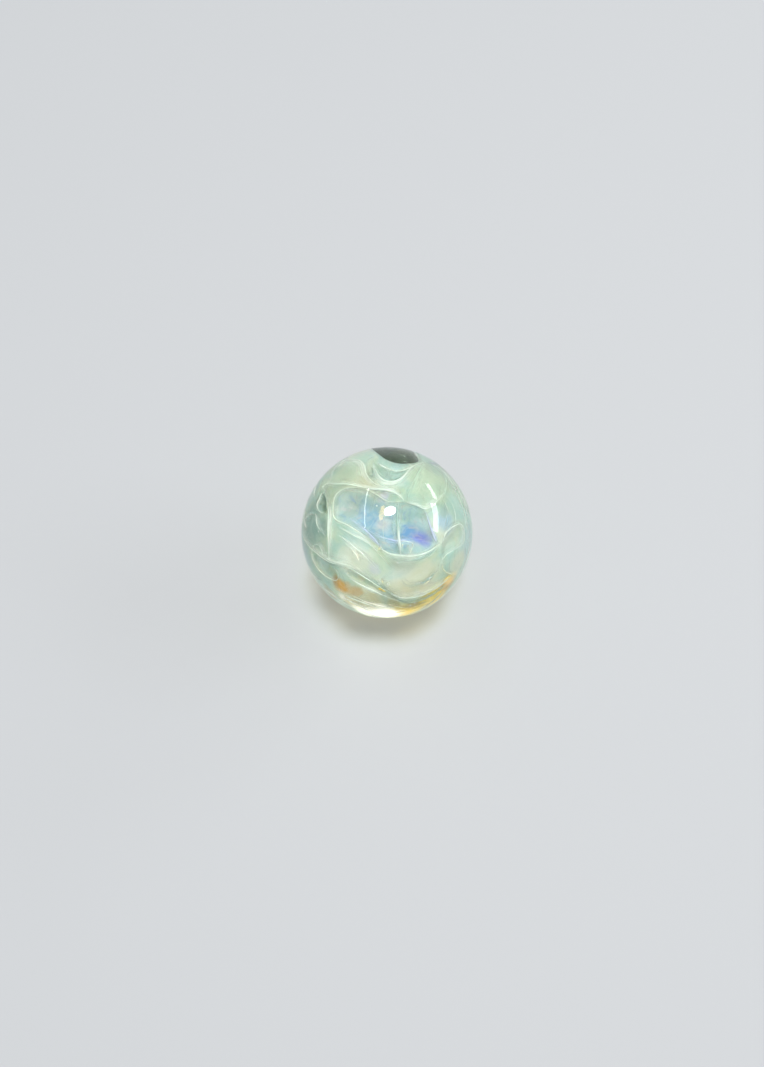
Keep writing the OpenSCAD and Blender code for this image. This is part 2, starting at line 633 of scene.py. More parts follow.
sides = np.sort(
    np.stack([milk_faces[keep], np.roll(milk_faces[keep], -1, axis=1)], -1).reshape(-1, 2), 1
)
sides, uses = np.unique(sides, axis=0, return_counts=True)
rim = sides[uses == 1]
milk_points = directions * milk_depth[:, None]
for _ in range(RIM_PASSES):  # the cut follows the grid's squares, so its rim is smoothed
    total, count = np.zeros_like(milk_points), np.zeros(len(milk_points))
    for a, b in (rim.T, rim.T[::-1]):
        np.add.at(total, a, milk_points[b])
        np.add.at(count, a, 1)
    on_rim = count > 0
    middle = total[on_rim] / count[on_rim][:, None]
    milk_points[on_rim] = 0.5 * milk_points[on_rim] + 0.5 * middle


def sheet_of(name, points, faces, **numbers):
    """A smooth sheet of these faces, with only the points that they use."""
    used, corners = np.unique(faces, return_inverse=True)
    mesh = bpy.data.meshes.new(name)
    mesh.from_pydata((points[used] * BALL_R).tolist(), [], corners.reshape(faces.shape).tolist())
    for title, values in numbers.items():
        mesh.attributes.new(title, "FLOAT", "POINT").data.foreach_set(
            "value", values[used].astype(np.float32)
        )
    mesh.shade_smooth()
    made = bpy.data.objects.new(name, mesh)
    bpy.context.scene.collection.objects.link(made)
    print(name, "has", len(mesh.polygons), "faces")
    return made


behind_window = open_here[milk_faces].max(axis=1) > -UNDER_RIM
pane_points = directions * (milk_depth[:, None] - PANE_DROP)
window_shade = sheet_of("window_shade_pane", pane_points, milk_faces[behind_window])
milk = sheet_of("milk_sheet", milk_points, milk_faces[keep], hollow=hollow, lagoon=lagoon)

# %% [markdown]
# ## Opal glass: blue thrown back, amber let through
#
# Milk glass is a diffuse surface that also lets light through, so each opal finish mixes a
# Principled shader with a Translucent one. A lamp can't be found through solid opal, so for
# lamp rays the sheet turns into a tinted clear one. The ball then glows at its foot, as the
# real one does, and its brightest glow there is painted: emission in the milk stands in for
# the light that the glass gathers. Its colour comes from zones, each a soft patch round one
# direction. The white and gold zones at the foot also paint that gathered light.

# %% The tints: the glass maker's colours, and some that also paint light and shade
TINTS = {
    "cream": (234, 242, 238),
    "sage": (198, 216, 204),
    "straw": (232, 226, 196),
    "olive": (146, 152, 130),
    "lilac": (206, 214, 246),
    "grey": (172, 186, 180),
    "mint": (200, 222, 208),
    "teal": (172, 210, 210),
    "blue": (132, 182, 224),
    "ice": (202, 230, 240),
    "violet": (126, 132, 230),
    "moss": (133, 172, 174),
    "pearl": (234, 242, 238),
    "sand": (232, 228, 206),
    "amber": (214, 162, 72),
    "gold": (232, 203, 56),
    "snow": (255, 254, 250),
    # painted shade: the dark of the milk's pockets and of the veils behind folds
    "shade": (92, 124, 126),
    "lagoon": (154, 190, 208),
    "rose": (210, 202, 214),
    "umber": (156, 122, 80),
    "deep": (104, 156, 216),
    "khaki": (176, 156, 88),
}
TINTS = {name: glass_tint(*light) for name, light in TINTS.items()}
# tint, place on the face, how far it reaches, strength
MILK_ZONES = [
    ("teal", (0.05, 0.68), 0.35, 0.8),
    ("ice", (0.05, 0.67), 0.20, 0.5),
    ("mint", (-0.45, 0.68), 0.40, 0.9),
    ("mint", (0.50, 0.55), 0.45, 0.7),
    ("teal", (0.80, 0.26), 0.30, 0.9),
    ("moss", (-0.88, 0.10), 0.42, 0.9),
    ("moss", (-0.72, 0.06), 0.18, 0.9),
    ("moss", (-0.76, 0.34), 0.18, 0.9),
    ("blue", (0.68, 0.12), 0.20, 0.7),
    ("ice", (-0.35, -0.08), 0.26, 0.6),
    ("lilac", (-0.04, 0.42), 0.12, 0.9),
    ("pearl", (-0.35, -0.32), 0.36, 0.8),
    ("lilac", (-0.14, -0.42), 0.14, 0.6),
    ("grey", (0.20, -0.35), 0.22, 0.8),
    ("pearl", (0.16, -0.50), 0.30, 0.6),
    ("sand", (0.42, -0.52), 0.38, 0.7),
    ("sand", (0.12, -0.64), 0.26, 0.7),
    ("sand", (0.80, -0.36), 0.24, 0.6),
    ("pearl", (-0.10, -0.55), 0.24, 0.6),
    ("teal", (-0.74, -0.34), 0.24, 0.5),
    ("ice", (-0.76, -0.38), 0.16, 0.6),
    ("straw", (-0.30, -0.78), 0.40, 0.9),
    ("amber", (-0.52, -0.61), 0.17, 1.0),
    ("amber", (-0.36, -0.67), 0.12, 0.6),
    ("umber", (-0.58, -0.58), 0.08, 0.6),
    ("olive", (0.05, -0.78), 0.16, 0.4),
    # gold at the foot, here and below: the glass's own colour and painted light, the glow
    # gathered there
    ("gold", (0.18, -0.90), 0.34, 1.0),
    ("gold", (0.52, -0.75), 0.36, 1.0),
    ("olive", (0.40, -0.82), 0.10, 0.5),
    ("sand", (0.24, -0.69), 0.17, 0.8),
    ("sand", (0.45, -0.63), 0.15, 0.8),
    ("khaki", (0.28, -0.83), 0.17, 0.8),
    ("khaki", (0.07, -0.80), 0.13, 0.6),
    ("khaki", (-0.14, -0.73), 0.20, 0.3),
    ("sand", (-0.30, -0.52), 0.10, 0.7),
    ("khaki", (-0.68, -0.66), 0.16, 0.8),
    # painted light: a white hot spot where light gathers
    ("snow", (-0.48, -0.745), 0.09, 0.9),
    ("ice", (-0.72, -0.42), 0.09, 0.7),
    ("moss", (0.66, 0.24), 0.13, 0.8),
    ("amber", (0.68, -0.60), 0.20, 0.7),
    # painted light: the white hot spot where the ball gathers the light from above
    ("snow", (-0.10, -0.93), 0.34, 0.9),
]
# the same on the other sides, each with its side's name first
SIDE_ZONES = [
    ("back", "moss", (0.45, 0.30), 0.50, 0.7),
    ("back", "pearl", (-0.30, -0.20), 0.50, 0.8),
    ("back", "blue", (-0.55, 0.35), 0.35, 0.6),
    ("back", "sand", (0.20, -0.70), 0.40, 0.7),
    ("right", "ice", (0.10, 0.10), 0.45, 0.7),
    ("right", "moss", (-0.50, -0.25), 0.40, 0.7),
    ("right", "pearl", (0.55, 0.30), 0.35, 0.7),
    ("left", "blue", (0.05, 0.15), 0.35, 0.6),
    ("left", "pearl", (0.45, -0.30), 0.40, 0.8),
    ("left", "moss", (-0.45, 0.20), 0.35, 0.7),
    ("foot", "sand", (0.00, 0.10), 0.60, 0.7),
    ("foot", "amber", (-0.35, 0.35), 0.28, 0.6),
    ("foot", "violet", (0.40, -0.30), 0.22, 0.5),
]
# the same, for the deep pocket in the middle
LAGOON_ZONES = [
    ("grey", (-0.46, 0.32), 0.26, 0.6),
    ("blue", (-0.25, 0.18), 0.30, 0.8),
    ("rose", (-0.05, 0.12), 0.16, 0.6),
    ("teal", (0.25, 0.18), 0.20, 0.6),
    ("blue", (0.10, -0.08), 0.34, 0.8),
    ("deep", (-0.12, -0.06), 0.16, 0.6),
    ("deep", (0.30, -0.02), 0.22, 0.9),
    ("teal", (0.20, -0.20), 0.10, 0.6),
    ("moss", (0.45, 0.22), 0.13, 0.9),
    ("violet", (0.45, -0.09), 0.20, 1.0),
]
print(len(TINTS), "tints and", len(MILK_ZONES), "zones")


# %% Opal that glows
def opal(finish, colour, through, share_through, painted_glow=None):
    """Milk glass: it throws light back in one colour and lets another through."""
    inputs = {"Base Color": colour, "Roughness": 0.5, "Specular IOR Level": 0.0}
    # painted glow: emission that stands in for light gathered there, though the milk is no lamp
    if painted_glow:
        inputs |= {"Emission Color": painted_glow, "Emission Strength": 1.0}
    front = finish.node("BsdfPrincipled", inputs)
    back = finish.node("BsdfTranslucent", {"Color": through})
    return finish.blend(share_through, front, back)


def for_lamps(finish, shader, colour):
    """Lets lamp rays through as if the piece were clear glass of this colour."""
    clear = finish.node("BsdfTransparent", {"Color": colour})
    lamp_ray = finish.node("LightPath", output="Is Shadow Ray")
    return finish.blend(lamp_ray, shader, clear)


# %% The milk's finish
# painted glow: emission that stands in for the light that the ball, as a lens, gathers from
# above:
# place, full within, none past, light
PAINTED_GLOWS = [
    ((0.20, -0.93), 0.07, 0.28, (0.82, 0.56, 0.10)),
    ((0.55, -0.76), 0.05, 0.26, (0.20, 0.13, 0.0)),
    ((0.72, -0.53), 0.02, 0.15, (0.62, 0.36, 0.04)),
    ((-0.48, -0.64), 0.02, 0.16, (0.16, 0.07, 0.0)),
    ((-0.40, -0.82), 0.05, 0.22, (0.26, 0.20, 0.12)),
    ((-0.49, -0.75), 0.01, 0.10, (0.30, 0.27, 0.24)),
    ((-0.10, -0.95), 0.16, 0.36, (1.7, 1.6, 1.38)),
]
DRIFT = 0.30  # radii that the colours wander from their places
milk_finish = Finish("milk_opal")
outward = milk_finish.vector("NORMALIZE", milk_finish.place())
drift = milk_finish.node("TexNoise", {"Vector": outward, "Scale": 2.4, "Detail": 4.0}, output=1)
drift = milk_finish.vector("SUBTRACT", drift, (0.5, 0.5, 0.5))
drifted = milk_finish.vector("MULTIPLY_ADD", drift, (DRIFT, DRIFT, DRIFT), outward)
cloud = milk_finish.noise(drifted, 3.2, 5.0, 0.6)
milk_colour = milk_finish.mix(cloud.between(0.35, 0.65), TINTS["mint"], TINTS["teal"])


def near(spot, low, high, face=FRONT):
    """1 close to a place on a face, falling to 0 from low to high radii away."""
    towards = under_glass([spot], face, MILK_DEPTH)[0]
    away = milk_finish.vector("DISTANCE", drifted, tuple(towards), output=1)
    return 1 - away.between(low, high)


for side, tint, spot, reach, strength in SIDE_ZONES:
    share = near(spot, 0.2 * reach, reach, SIDES[side][0]) * strength
    milk_colour = milk_finish.mix(share, milk_colour, TINTS[tint])
for tint, spot, reach, strength in MILK_ZONES:
    share = near(spot, 0.35 * reach, reach) * strength
    milk_colour = milk_finish.mix(share, milk_colour, TINTS[tint])
lagoon_colour = milk_finish.mix(cloud.between(0.35, 0.65) * 0.5, TINTS["lagoon"], TINTS["ice"])
for tint, spot, reach, strength in LAGOON_ZONES:
    share = near(spot, 0.2 * reach, reach) * strength
    lagoon_colour = milk_finish.mix(share, lagoon_colour, TINTS[tint])
ripple = milk_finish.noise(drifted, 8.0, 3.0, 0.9)
deep_share = ripple.between(0.52, 0.72) * 0.6
lagoon_colour = milk_finish.mix(deep_share, lagoon_colour, TINTS["deep"])
rose_share = (1 - ripple).between(0.54, 0.74) * 0.6
lagoon_colour = milk_finish.mix(rose_share, lagoon_colour, TINTS["rose"])
# painted shade: the milk is darker in its pockets, where shade falls
painted_shade_in_hollow = milk_finish.attribute("hollow")
milk_colour = milk_finish.mix(painted_shade_in_hollow * 0.24, milk_colour, TINTS["shade"])
milk_colour = milk_finish.mix(milk_finish.attribute("lagoon"), milk_colour, lagoon_colour)
off_strand = abs(milk_finish.noise(drifted, 6.0, 3.0, 0.8) * 2 - 1)
strand_share = (1 - off_strand.between(0.0, 0.2)) * 0.14
milk_colour = milk_finish.mix(strand_share, milk_colour, TINTS["snow"])

# %% Painted glow: emission where the ball would gather light
painted_glow = (0.0, 0.0, 0.0)
for spot, low, high, light in PAINTED_GLOWS:
    painted_glow = milk_finish.mix(near(spot, low, high), painted_glow, light)
glow_colour = milk_finish.mix(0.25, milk_colour, TINTS["sand"])
milk_shader = opal(milk_finish, milk_colour, glow_colour, 0.45, painted_glow)
milk_shader = for_lamps(milk_finish, milk_shader, (0.50, 0.45, 0.36))
milk.data.materials.append(milk_finish.show(milk_shader))

# %% The window's dark pane: painted shade
# painted shade: a dark, partly clear pane stands in for the shaded inside seen through the window
window_shade_finish = Finish("painted_window_shade")
haze = window_shade_finish.noise(window_shade_finish.place(), 420.0, 4.0, 0.5).between(0.3, 0.8)
window_shade_tone = window_shade_finish.mix(haze, (0.33, 0.38, 0.32), (0.45, 0.50, 0.42))
streak = window_shade_finish.noise(window_shade_finish.place(), 900.0, 5.0, 1.8).between(0.40, 0.75)
window_shade_streaks = window_shade_finish.mix(streak, glass_tint(44, 54, 43), glass_tint(74, 86, 72))
window_shade_body = window_shade_finish.node(
    "BsdfPrincipled",
    {"Base Color": window_shade_streaks, "Roughness": 0.5, "Specular IOR Level": 0.0},
)
window_shade_clear = window_shade_finish.node("BsdfTransparent", {"Color": window_shade_tone})
window_shade_shader = window_shade_finish.blend(haze * 0.2 + 0.55, window_shade_clear, window_shade_body)
window_shade.data.materials.append(window_shade_finish.show(window_shade_shader))

# %% [markdown]
# ## Veils: soft sheets that hang from the folds
#
# From each fold a thinner sheet hangs towards the milk. It is thickest at the fold and fades
# out, so its opacity is a number on its mesh, most at the fold and 0 at its far edge. It
# starts with a short lip turned down into the ball, because a real fold turns over there.
#
# A veil follows a path, so Geometry Nodes make it. Each fold goes in as a line of points that
# carry what the veil needs to know. The recipe pushes the line sideways again and again, like
# pulling a blind, then lays every row at its place and writes down its opacity.

# %% What a fold's points carry
VEIL_ROWS = 9
LIP_ROWS = 2
SOFT_EDGE = 0.028  # radii over which the bright core of a fold fades
FULL_LIP, NO_LIP = 1.5, 20.0  # how fast the lip fades
WAVE_LENGTHS = 21.0  # of the slow waves along a veil, in radians


def ahead_of(outwards):
    """The way a path runs at each of its points."""
    ahead = np.gradient(outwards, axis=0)
    return ahead / np.linalg.norm(ahead, axis=1)[:, None]


def fold_points(outwards, depth, side, width, strength, tint, seed, core, lip):
    """The path of one fold and the numbers that its points carry."""
    dice = np.random.default_rng(seed)
    along = np.linspace(0, 1, len(outwards))
    taper = np.sin(math.pi * along.clip(0.02, 0.98)) ** 0.45
    ripple = 1 + 0.25 * np.sin(along * dice.uniform(5, 11) + dice.uniform(0, 6))
    glow = 0.72 + 0.28 * np.sin(along * dice.uniform(4, 9) + dice.uniform(0, 6))
    same = np.ones(len(outwards))
    return outwards, {
        "sideways": side * np.cross(outwards, ahead_of(outwards)),
        "reach": width * ripple * taper,
        "depth": depth * same,
        "strength": strength * same,
        "core": core * same,
        "core_fall": max(1.0, width / SOFT_EDGE) * same,
        "lip_fall": lip * same,
        "shine": taper * glow,
        "along": along * len(along) * 0.02,
        "wave": along * WAVE_LENGTHS + seed,
        "tint": np.tile((*tint, 1.0), (len(outwards), 1)),
    }


# %% The veil recipe: push the line sideways, row by row
veil_recipe = Recipe(
    "hang_veils",
    {
        "Rows": "Int",
        "Lip rows": "Int",
        "Ball radius": "Float",
        "Milk depth": "Float",
        "Lip drop": "Float",
        "Finish": "Material",
    },
)
given, carried = veil_recipe.given, veil_recipe.carried
shape = veil_recipe.write_down(given("Geometry"), "row", 0.0)
shape = veil_recipe.write_down(shape, "front", True, "BOOLEAN", "EDGE")
start = veil_recipe.nodes.new("GeometryNodeRepeatInput")
end = veil_recipe.nodes.new("GeometryNodeRepeatOutput")
start.pair_with_output(end)
veil_recipe.feed(start.inputs["Iterations"], given("Rows") + given("Lip rows"))
veil_recipe.feed(start.inputs["Geometry"], shape)
pushed = veil_recipe.node(
    "ExtrudeMesh",
    {
        "Mesh": start.outputs["Geometry"],
        "Selection": carried("front", "BOOLEAN"),
        "Offset Scale": 0.0,
    },
    mode="EDGES",
)
newest = pushed.socket.node.outputs["Top"]
shape = veil_recipe.write_down(pushed, "row", carried("row") + 1, chosen=newest)
shape = veil_recipe.write_down(shape, "front", newest, "BOOLEAN", "EDGE")
veil_recipe.feed(end.inputs["Geometry"], shape)

# %% The veil recipe: lay each row in its place
EASE = 1.6  # rows lie closer together near the fold
LIP_TUCK = 0.015  # radii that the lip goes back under its fold
SWAY = 0.006  # radii
from_fold = carried("row") - given("Lip rows")
down = (from_fold * -1 / given("Lip rows")).within_one()
across = (from_fold / given("Rows")).within_one() ** EASE
moved = veil_recipe.vector(
    "MULTIPLY_ADD",
    carried("sideways", "FLOAT_VECTOR"),
    carried("reach") * across - down * LIP_TUCK,
    veil_recipe.node("InputPosition"),
)
depth = carried("depth")
radius = depth - (depth - given("Milk depth")) * 0.8 * across**1.5
radius = radius - given("Lip drop") * down
radius = radius + (across * 5 + carried("wave")).sine() * SWAY * across
place = veil_recipe.vector("NORMALIZE", moved)
place = veil_recipe.vector("MULTIPLY", place, radius * given("Ball radius"))

# %% The veil recipe: how much each row hides
thin = 1 - across
fade = carried("strength") * thin**1.5 + carried("core") * thin ** carried("core_fall")
fade = fade * (1 - down) ** carried("lip_fall") * carried("shine")
shape = veil_recipe.write_down(end.outputs["Geometry"], "opacity", fade)
shape = veil_recipe.write_down(shape, "across", across - down * 0.15)
shape = veil_recipe.node("SetPosition", {"Geometry": shape, "Position": place})
facing = veil_recipe.vector(
    "DOT_PRODUCT",
    veil_recipe.node("InputNormal"),
    veil_recipe.node("InputPosition"),
    output=1,
)
inside_out = veil_recipe.node(
    "FunctionNodeCompare", {0: facing, 1: 0.0}, operation="LESS_THAN"
)
veil_recipe.serve(
    veil_recipe.node("FlipFaces", {"Mesh": shape, "Selection": inside_out})
)
print(len(veil_recipe.nodes), "nodes in the veil recipe")

# %% The veils' finish
veil_finish = Finish("veil_opal")
combed = veil_finish.node(
    "CombineXYZ",
    {"X": veil_finish.attribute("along") * 2.5, "Y": veil_finish.attribute("across") * 9.0},
)
combing = veil_finish.noise(combed, 1.6, 4.0, 0.4)
opacity = veil_finish.attribute("opacity") * (combing.between(0.25, 0.75) * 0.9 + 0.45)
veil_tint = veil_finish.mix(
    combing.between(0.45, 0.75) * 0.2, veil_finish.attribute("tint", "Color"), TINTS["snow"]
)
veil_shader = opal(veil_finish, veil_tint, veil_tint, 0.4)
clear = veil_finish.node("BsdfTransparent")
veil_shader = veil_finish.blend(opacity.between(0.0, 1.0), clear, veil_shader)
veil_finish.show(for_lamps(veil_finish, veil_shader, (0.97, 0.96, 0.93)))

# %% [markdown]
# ## Hanging the folds
#
# A fold gets its veil, and if it has a thread, that and a narrow dark veil on its other side:
# the shade in the hollow behind a fold is what makes it look raised. Fainter echoes beside it
# make the sheet look many layers thick.

# %% Hang one fold
SHADE_WIDTH = 0.085
LIP_DROP = 0.07  # radii that the lip sinks below its fold
ECHO_CORE = 0.2
ECHOES = [(0.022, -0.03, 0.5), (-0.035, -0.05, 0.35)]  # offset, depth, strength
# the tint of the veil below each thread tint
VEIL_TINTS = {
    "snow": "snow", "gold": "gold", "cream": "pearl", "sage": "mint", "straw": "sand",
    "olive": "moss", "lilac": "lilac", "grey": "teal",
}
folds_hung, thread_paths = [], []


def hang(outwards, depth, side, width, strength, tint, thick, seed, core=0.45):
    """One fold: its veil, and if it has a thread, that and the shade behind the fold."""
    veil_tint = TINTS[VEIL_TINTS[tint]]
    folds_hung.append(
        fold_points(outwards, depth, side, width, strength, veil_tint, seed, core, FULL_LIP)
    )
    if thick:
        thread_paths.append((outwards * depth, tint, thick))
        folds_hung.append(
            fold_points(
                outwards, depth - 0.02, -side, SHADE_WIDTH, strength, TINTS["shade"],
                seed + 7, 0.0, NO_LIP,
            )
        )


def beside(outwards, offset):
    """The same path, moved to its left by about this many radii, a little unevenly."""
    along = np.linspace(0, 1, len(outwards))
    uneven = offset * (1 + 0.8 * np.sin(7 * along + 40 * offset))
    moved = outwards + uneven[:, None] * np.cross(outwards, ahead_of(outwards))
    return moved / np.linalg.norm(moved, axis=1)[:, None]


def draw_blinds(name):
    """One piece from all the folds hung so far, which are then put away."""
    paths, carried = zip(*folds_hung)
    numbers = {key: np.concatenate([one[key] for one in carried]) for key in carried[0]}
    made = cook(
        name,
        point_mesh(name + "_lines", paths, numbers),
        veil_recipe,
        {
            "Rows": VEIL_ROWS,
            "Lip rows": LIP_ROWS,
            "Ball radius": BALL_R,
            "Milk depth": MILK_DEPTH,
            "Lip drop": LIP_DROP,
            "Finish": veil_finish.material,
        },
    )
    print(len(folds_hung), "veils in", name)
    folds_hung.clear()
    return made


# %% The veils of the face
for number, (path, side, width, strength, tint, thick) in enumerate(FACE_FOLDS.values()):
    depth = 0.90 + 0.05 * math.sin(2.4 * number)
    outwards = under_glass(smooth_path(path), FRONT, depth)
    hang(outwards, depth, side, width, strength, tint, thick, number)
    for offset, deeper, share in ECHOES:
        hang(
            beside(outwards, offset), depth + deeper, side, width, strength * share, tint,
            0.0, 300 + number, ECHO_CORE,
        )
face_veils = draw_blinds("face_veils")

# %% [markdown]
# ## The far sides and the swirl
#
# The other sides borrow folds from the face. Between them run the lines that the glass
# followed when it was stirred: paths round the hills of a smooth random height never cross,
# as real streaks of glass never do. Both stop short of the window, to keep it clear.

# %% Folds of the other sides
SHORTEST = 10  # points in the shortest fold worth hanging
CLEAR_OF_WINDOW = math.cos(math.radians(16))
OFF_FACE = 0.93  # radii from the middle of the face, as it is seen
SIDE_FOLDS = {
    "back": ("long_top", "loop", "left_band", "diagonal", "low_smile", "high_smile",
             "centre_band", "fan_left", "fan_foot", "blue_edge", "sweep_b", "foot_arc_a"),
    "right": ("long_top", "loop", "diagonal", "low_smile", "sweep_a", "sweep_c",
              "fan_left", "pouch", "foot_arc_b"),
    "left": ("loop", "low_smile", "diagonal", "hook", "sweep_b", "bowl", "right_leaf"),
    "foot": ("long_top", "loop", "low_smile", "diagonal", "blue_edge", "leaf_top",
             "right_leaf", "bowl"),
}
window_way = under_glass([(0.10, 0.92)], FRONT, MILK_DEPTH)[0]


def longest_free(outwards, depth, off_face):
    """The longest stretch of a path that is clear of the window, and of the face if asked."""
    free = outwards @ window_way < CLEAR_OF_WINDOW
    if off_face:
        free &= np.hypot(*seen_at(outwards, FRONT, depth).T) > OFF_FACE
    ends = np.flatnonzero(np.diff(np.r_[0, free, 0])).reshape(-1, 2)
    if not len(ends):
        return outwards[:0]
    start, end = ends[np.argmax(ends[:, 1] - ends[:, 0])]
    return outwards[start:end]


side_folds = [(side, fold) for side, folds in SIDE_FOLDS.items() for fold in folds]
for number, (side_name, fold) in enumerate(side_folds):
    path, side, width, strength, tint, thick = FACE_FOLDS[fold]
    depth = 0.89 + 0.05 * math.sin(1.9 * number + 1)
    outwards = under_glass(smooth_path(path), SIDES[side_name][0], depth)
    outwards = longest_free(outwards, depth, True)
    if len(outwards) >= SHORTEST:
        hang(outwards, depth, side, width, strength, tint, thick, 100 + number)
        hang(
            beside(outwards, 0.025), depth - 0.03, side, width, 0.5 * strength, tint,
            0.0, 500 + number, ECHO_CORE,
        )
print(len(folds_hung), "veils on the other sides")

# %% The swirl
SWIRL_LINES = 90
SWIRL_STEP = 0.025  # radians along each line
SWIRL_CORE = 0.12


def swirl_lines(count, seed):
    """Paths of directions that run round the hills of a smooth random height."""
    dice = np.random.default_rng(seed)
    axes = dice.normal(size=(12, 3)) * 2.6
    phases = dice.uniform(0, 2 * math.pi, 12)
    lines = []
    for _ in range(count):
        here = dice.normal(size=3)
        here /= np.linalg.norm(here)
        path = [here]
        for _ in range(int(dice.uniform(16, 46))):
            slope = (axes * np.cos(axes @ here + phases)[:, None]).sum(0)
            ahead = np.cross(here, slope)
            ahead /= max(np.linalg.norm(ahead), 1e-6)
            here = here + SWIRL_STEP * ahead
            here /= np.linalg.norm(here)
            path.append(here)
        lines.append(np.array(path))
    return lines


dice = np.random.default_rng(11)
for number, outwards in enumerate(swirl_lines(SWIRL_LINES, 5)):
    depth = dice.uniform(0.83, 0.96)
    width, strength = dice.uniform(0.10, 0.40), dice.uniform(0.10, 0.35)
    tint = dice.choice(["cream", "cream", "cream", "sage", "lilac"])
    thick = dice.choice([0.0, 0.0, 0.0, 0.0, 0.5])
    outwards = longest_free(outwards, depth, False)
    if len(outwards) >= SHORTEST:
        side = LEFT if number % 2 else RIGHT
        hang(outwards, depth, side, width, strength, tint, thick, 200 + number, SWIRL_CORE)
far_veils = draw_blinds("far_veils")

# %% [markdown]
# ## Threads: the folds seen edge-on
#
# The very edge of a fold is the brightest line in the ball. It could be drawn in the veil's
# finish, but a real thread catches light on one side, so it is swept: the recipe turns each
# line into a curve, gives every point its own thickness, and runs a small circle along it.

# %% The threads' finish
thread_finish = Finish("thread_opal")
grain = thread_finish.noise(thread_finish.place(), 1800.0, 2.0)
thread_tint = thread_finish.mix(
    grain.between(0.3, 0.8) * 0.5 + 0.1, thread_finish.attribute("tint", "Color"), TINTS["mint"]
)
thread_shader = opal(thread_finish, thread_tint, thread_tint, 0.45)
thread_finish.show(for_lamps(thread_finish, thread_shader, (0.9, 0.9, 0.9)))

# %% The thread recipe
thread_recipe = Recipe(
    "sweep_threads", {"Thread radius": "Float", "Sides": "Int", "Finish": "Material"}
)
curves = thread_recipe.node(
    "MeshToCurve", {"Mesh": thread_recipe.given("Geometry")}
)
ring = thread_recipe.node(
    "CurvePrimitiveCircle",
    {"Resolution": thread_recipe.given("Sides"), "Radius": thread_recipe.given("Thread radius")},
)
swept = thread_recipe.node(
    "CurveToMesh",
    {
        "Curve": curves,
        "Profile Curve": ring,
        "Scale": thread_recipe.carried("thick"),
        "Fill Caps": True,
    },
)
thread_recipe.serve(swept)

# %% Sweep the threads
THREAD_RADIUS = 0.029 * MM
thick_at, tint_at, so_far = [], [], 0
for path, tint, thick in thread_paths:
    along = np.linspace(0, 1, len(path))
    swell = np.sin(math.pi * along.clip(0.01, 0.99)) ** 0.7
    swell *= 0.75 + 0.45 * np.sin(along * 11 + so_far)
    thick_at.append(thick * swell)
    tint_at.append(np.tile((*TINTS[tint], 1.0), (len(path), 1)))
    so_far += len(path)
threads = cook(
    "fold_threads",
    point_mesh(
        "thread_lines",
        [path * BALL_R for path, _, _ in thread_paths],
        {"thick": np.concatenate(thick_at), "tint": np.concatenate(tint_at)},
    ),
    thread_recipe,
    {"Thread radius": THREAD_RADIUS, "Sides": 7, "Finish": thread_finish.material},
)

# %% [markdown]
# ## Seeds: tiny bubbles
#
# Hand-worked glass keeps a few bubbles, which glass makers call seeds. Each is a short egg,
# drawn out along the way the glass was pulled, and shines like silver, because light inside
# glass bounces off air. They repeat, so the recipe puts one small ball on each of a few dozen
# points, stretched and turned by numbers that the points carry.

# %% Where the seeds are
SEED_RADIUS = 0.045 * MM
SEEDS_ANYWHERE = 70
SEED_NESTS = [(-0.34, -0.26), (-0.05, -0.59), (0.16, 0.88), (0.45, -0.50), (-0.18, 0.68)]
IN_A_NEST = 4
dice = np.random.default_rng(31)
seed_ways = dice.normal(size=(SEEDS_ANYWHERE, 3))
nests = np.repeat(SEED_NESTS, IN_A_NEST, axis=0)
nests = nests + dice.normal(0, 0.04, nests.shape)
seed_ways = np.concatenate([seed_ways, under_glass(nests, FRONT, 0.90)])
seed_ways /= np.linalg.norm(seed_ways, axis=1)[:, None]
seed_depths = dice.uniform(0.86, 0.97, len(seed_ways))
seed_sizes = dice.uniform(0.35, 1.5, (len(seed_ways), 1)) * [1.0, 1.0, 1.8]
seed_turns = dice.uniform(0, 2 * math.pi, seed_sizes.shape)
seed_mesh = point_mesh(
    "seed_points",
    (seed_ways * seed_depths[:, None] * BALL_R)[:, None],
    {"size": seed_sizes, "turn": seed_turns},
)

# %% The seeds' finish
seed_finish = Finish("seed_silver")
seed_shine = seed_finish.noise(seed_finish.place(), 3000.0).between(0.3, 0.7)
seed_shader = seed_finish.node(
    "BsdfPrincipled",
    {
        "Base Color": seed_finish.mix(seed_shine, (0.80, 0.88, 0.87), (0.97, 0.99, 1.0)),
        "Roughness": seed_shine * 0.1 + 0.08,
        "Metallic": 0.3,
    },
)
seed_finish.show(for_lamps(seed_finish, seed_shader, (0.9, 0.92, 0.92)))

# %% The seed recipe
seed_recipe = Recipe("scatter_seeds", {"Seed radius": "Float", "Finish": "Material"})
spots = seed_recipe.node(
    "MeshToPoints", {"Mesh": seed_recipe.given("Geometry")}
)
egg = seed_recipe.node(
    "MeshIcoSphere",
    {"Radius": seed_recipe.given("Seed radius"), "Subdivisions": 2},
)
turn = seed_recipe.node(
    "FunctionNodeEulerToRotation", {"Euler": seed_recipe.carried("turn", "FLOAT_VECTOR")}
)
scattered = seed_recipe.node(
    "InstanceOnPoints",
    {
        "Points": spots,
        "Instance": egg,
        "Rotation": turn,
        "Scale": seed_recipe.carried("size", "FLOAT_VECTOR"),
    },
)
seed_recipe.serve(scattered)
seeds = cook(
    "glass_seeds",
    seed_mesh,
    seed_recipe,
    {"Seed radius": SEED_RADIUS, "Finish": seed_finish.material},
)

# %% [markdown]
# ## The clear glass
#
# The ball itself is the CAD solid with a glass finish. Fire-polished glass is smooth, with a
# slight roll to its surface. Lamp rays pass through it unbent, which lights the veils with
# far less noise than real caustics would.

